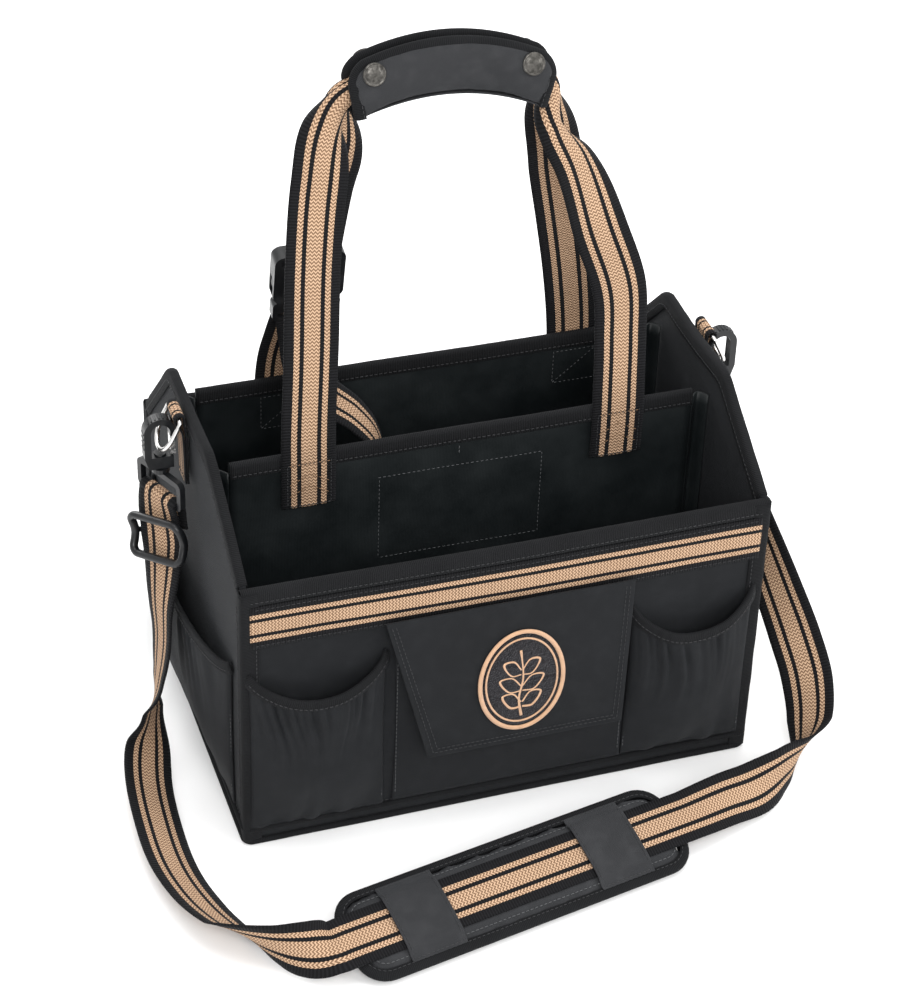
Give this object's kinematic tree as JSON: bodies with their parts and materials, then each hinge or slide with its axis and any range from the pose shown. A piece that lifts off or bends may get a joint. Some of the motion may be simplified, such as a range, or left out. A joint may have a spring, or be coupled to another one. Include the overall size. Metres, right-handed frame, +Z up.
{
  "type": "garden tool bag",
  "caption": "Open-topped fabric tool tote with two full-width partitions, outside pockets, padded carrying handle and a padded shoulder strap on snap hooks.",
  "frame": {"origin": "ground plane under the middle of the bag, without its shoulder strap", "axes": "+X to the right seen from the front, +Y to the back, +Z up"},
  "size_m": [0.5327, 0.4769, 0.5523],
  "materials": {
    "fabric": "matt twill",
    "board": "matt sheet",
    "lining": "coated cloth, low sheen",
    "binding": "ribbed grosgrain",
    "webbing": "woven, tan stripes on black",
    "emblem": "satin stitch",
    "plastic": "satin moulded",
    "steel": "bright plated wire",
    "gunmetal": "antique"
  },
  "bodies": {
    "bag": {"base_panel": "fabric", "front_wall": "fabric", "back_wall": "fabric", "left_end_wall": "fabric", "right_end_wall": "fabric", "front_left_pocket": "fabric", "front_right_pocket": "fabric", "front_center_pocket": "fabric", "left_side_pocket": "fabric", "right_side_pocket": "fabric", "back_pocket": "fabric", "base_board": "board", "front_partition": "lining", "rear_partition": "lining", "front_partition_left_gusset": "lining", "front_partition_right_gusset": "lining", "rear_partition_left_gusset": "lining", "rear_partition_right_gusset": "lining", "front_rim_binding": "binding", "back_rim_binding": "binding", "left_rim_binding": "binding", "right_rim_binding": "binding", "front_partition_binding": "binding", "rear_partition_binding": "binding", "front_band": "webbing", "front_handle_left_end": "webbing", "front_handle_right_end": "webbing", "rear_handle_left_end": "webbing", "rear_handle_right_end": "webbing", "left_ring_tab": "webbing", "right_ring_tab": "webbing", "strap_webbing": "webbing", "left_hook_eye": "plastic", "right_hook_eye": "plastic"},
    "flap": {"front_flap": "fabric", "flap_emblem": "emblem"},
    "handle": {"front_handle_webbing": "webbing", "rear_handle_webbing": "webbing", "rear_handle_lower_webbing": "webbing", "handle_strap_tail": "webbing", "grip_back_leaf": "fabric", "left_snap_stud": "gunmetal", "right_snap_stud": "gunmetal", "buckle_socket": "plastic", "buckle_plug": "plastic"},
    "grip_leaf": {"grip_front_leaf": "fabric", "left_snap_cap": "gunmetal", "right_snap_cap": "gunmetal"},
    "left_prong": {"left_buckle_prong": "plastic"},
    "right_prong": {"right_buckle_prong": "plastic"},
    "left_ring": {"left_d_ring": "steel"},
    "right_ring": {"right_d_ring": "steel"},
    "left_hook": {"left_hook": "plastic"},
    "right_hook": {"right_hook": "plastic"},
    "left_gate": {"left_hook_gate": "steel"},
    "right_gate": {"right_hook_gate": "steel"},
    "slider": {"strap_slider": "plastic"},
    "pad": {"shoulder_pad": "fabric", "pad_left_sleeve": "fabric", "pad_right_sleeve": "fabric"}
  },
  "joints": [
    {"name": "flap_lift", "type": "hinge", "parent": "bag", "child": "flap", "pos_m": [0, -0.1518, 0.1894], "axis": [-1, 0, 0], "range_deg": [0, 140]},
    {"name": "handle_sway", "type": "hinge", "parent": "bag", "child": "handle", "pos_m": [0, 0.01, 0.264], "axis": [1, 0, 0], "range_deg": [-8, 8]},
    {"name": "grip_open", "type": "hinge", "parent": "handle", "child": "grip_leaf", "pos_m": [0, -0.0034, 0.487], "axis": [1, 0, 0], "range_deg": [0, 110]},
    {"name": "right_prong_squeeze", "type": "hinge", "parent": "handle", "child": "right_prong", "pos_m": [-0.07873, 0.04878, 0.33546], "axis": [-0.0167, -0.9762, -0.2161], "range_deg": [0, 8], "stiffness_Nm_per_rad": 0.05, "springref_deg": -5.73},
    {"name": "left_prong_squeeze", "type": "hinge", "parent": "handle", "child": "left_prong", "pos_m": [-0.11122, 0.04929, 0.33563], "axis": [0.0167, 0.9762, 0.2161], "range_deg": [0, 8], "stiffness_Nm_per_rad": 0.05, "springref_deg": -5.73},
    {"name": "left_ring_swing", "type": "hinge", "parent": "bag", "child": "left_ring", "pos_m": [-0.203, 0.005, 0.283], "axis": [0, 1, 0], "range_deg": [-8, 6]},
    {"name": "right_ring_swing", "type": "hinge", "parent": "bag", "child": "right_ring", "pos_m": [0.203, 0.005, 0.283], "axis": [0, -1, 0], "range_deg": [-8, 6]},
    {"name": "left_hook_swivel", "type": "hinge", "parent": "bag", "child": "left_hook", "pos_m": [-0.2151, 0.005, 0.247], "axis": [0, 0, 1], "range_deg": [-20, 20]},
    {"name": "right_hook_swivel", "type": "hinge", "parent": "bag", "child": "right_hook", "pos_m": [0.2151, 0.005, 0.247], "axis": [0, 0, 1], "range_deg": [-20, 20]},
    {"name": "left_gate_open", "type": "hinge", "parent": "left_hook", "child": "left_gate", "pos_m": [-0.2061, 0.005, 0.251], "axis": [0, -1, 0], "range_deg": [0, 25], "stiffness_Nm_per_rad": 0.02, "springref_deg": -11.46},
    {"name": "right_gate_open", "type": "hinge", "parent": "right_hook", "child": "right_gate", "pos_m": [0.2061, 0.005, 0.251], "axis": [0, 1, 0], "range_deg": [0, 25], "stiffness_Nm_per_rad": 0.02, "springref_deg": -11.46},
    {"name": "slider_slide", "type": "slide", "parent": "bag", "child": "slider", "axis": [-0.01, -0.253, -0.9674], "range_m": [-0.005, 0.0015]},
    {"name": "pad_slide", "type": "slide", "parent": "bag", "child": "pad", "axis": [0.9816, 0.1908, 0], "range_m": [-0.008, 0.008]}
  ]
}
